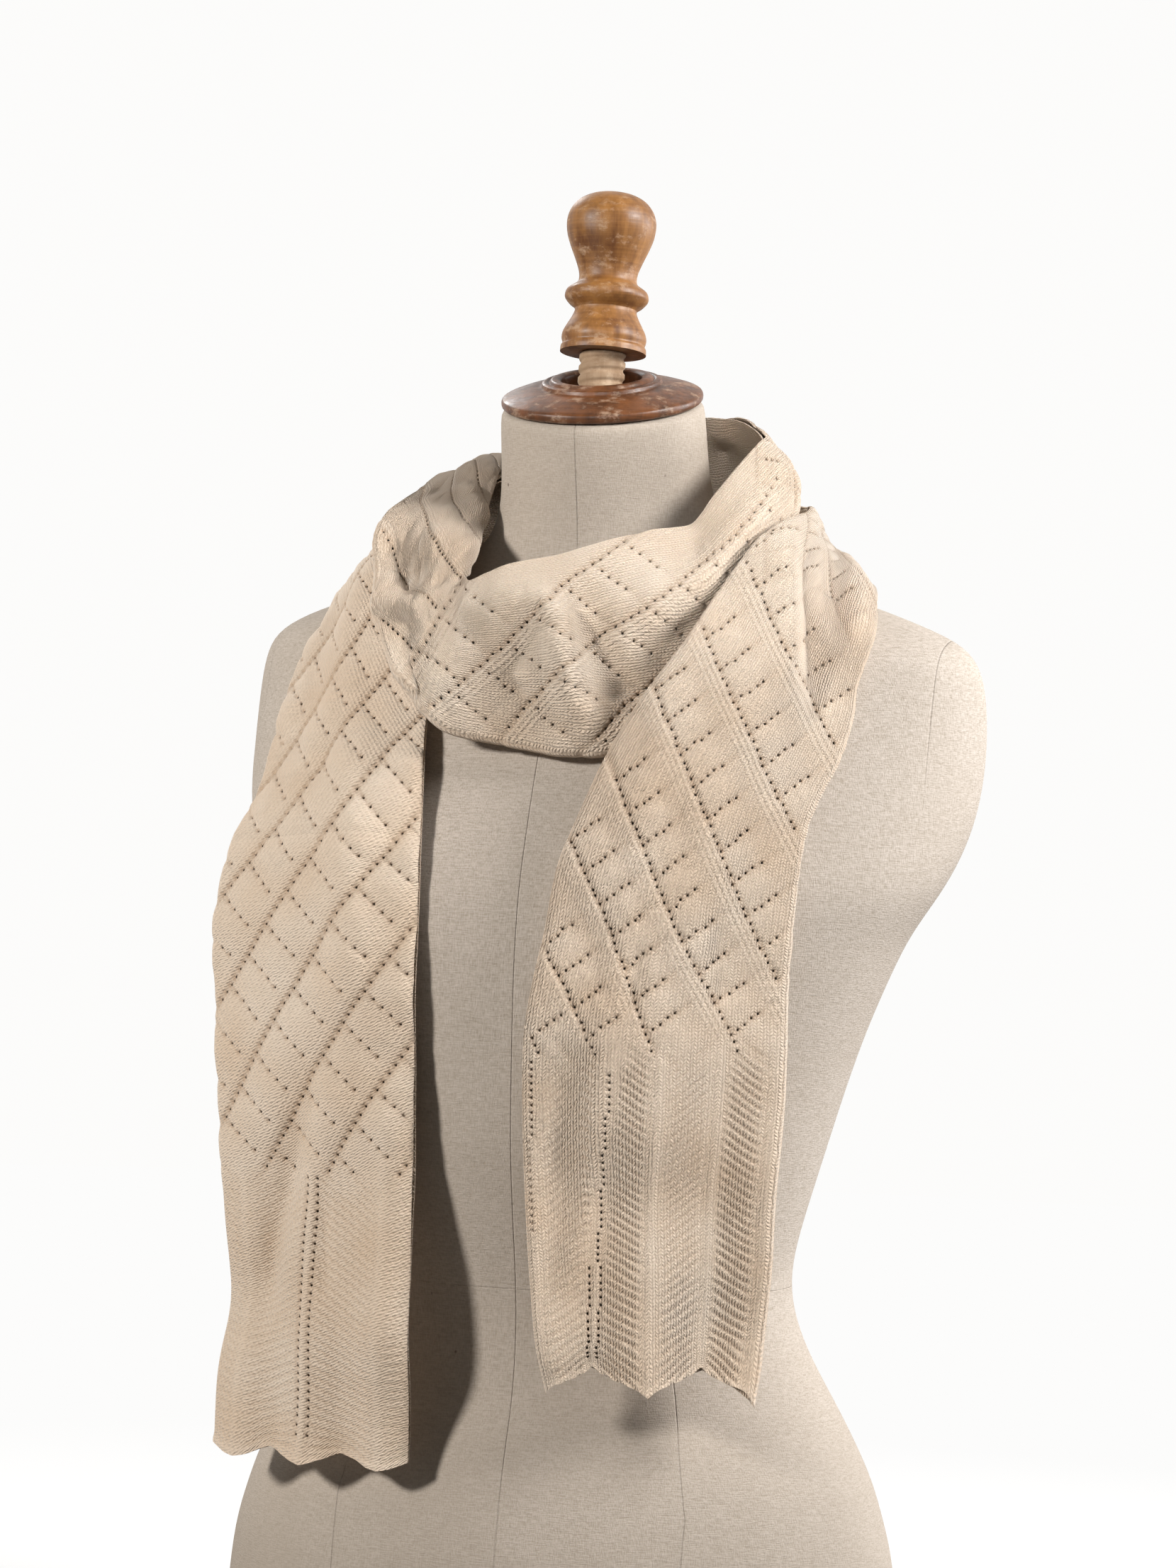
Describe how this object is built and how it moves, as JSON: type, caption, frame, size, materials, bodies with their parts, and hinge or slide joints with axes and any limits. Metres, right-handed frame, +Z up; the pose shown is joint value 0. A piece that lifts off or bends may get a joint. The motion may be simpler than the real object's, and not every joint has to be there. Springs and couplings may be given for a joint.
{
  "type": "knitted scarf on dress form",
  "caption": "Long lace-knit scarf, folded lengthwise and wound round the neck of a limbless linen-covered dress form with a turned wooden neck cap and a screw finial.",
  "frame": {"origin": "on the base's underside, under the middle of the dress form", "axes": "+Z up, the form faces -Y, +X to the form's left"},
  "size_m": [0.3932, 0.2515, 0.7554],
  "materials": {
    "linen": "woven, matt",
    "dark_wood": "worn satin varnish",
    "pale_wood": "bare",
    "varnished_wood": "worn gloss varnish",
    "knit": "soft lace knit"
  },
  "bodies": {
    "form": {"torso": "linen", "neck_cap": "dark_wood", "scarf_tail_left": "knit", "scarf_back_inner": "knit", "scarf_front_loop": "knit", "scarf_left_turn": "knit", "scarf_back_outer": "knit", "scarf_tail_right": "knit"},
    "screw": {"finial_screw": "pale_wood"},
    "knob": {"finial_knob": "varnished_wood"}
  },
  "joints": [
    {"name": "screw_lift", "type": "slide", "parent": "form", "child": "screw", "axis": [0, 0.1045, 0.9945], "range_m": [-0.0015, 0.006]},
    {"name": "knob_turn", "type": "hinge", "parent": "screw", "child": "knob", "pos_m": [0, -0.003, 0.6715], "axis": [0, 0.1045, 0.9945], "range_deg": [-90, 360]}
  ],
  "couplings": [
    {"joint": "screw_lift", "follows": "knob_turn", "m_per_rad": 0.00095493}
  ]
}
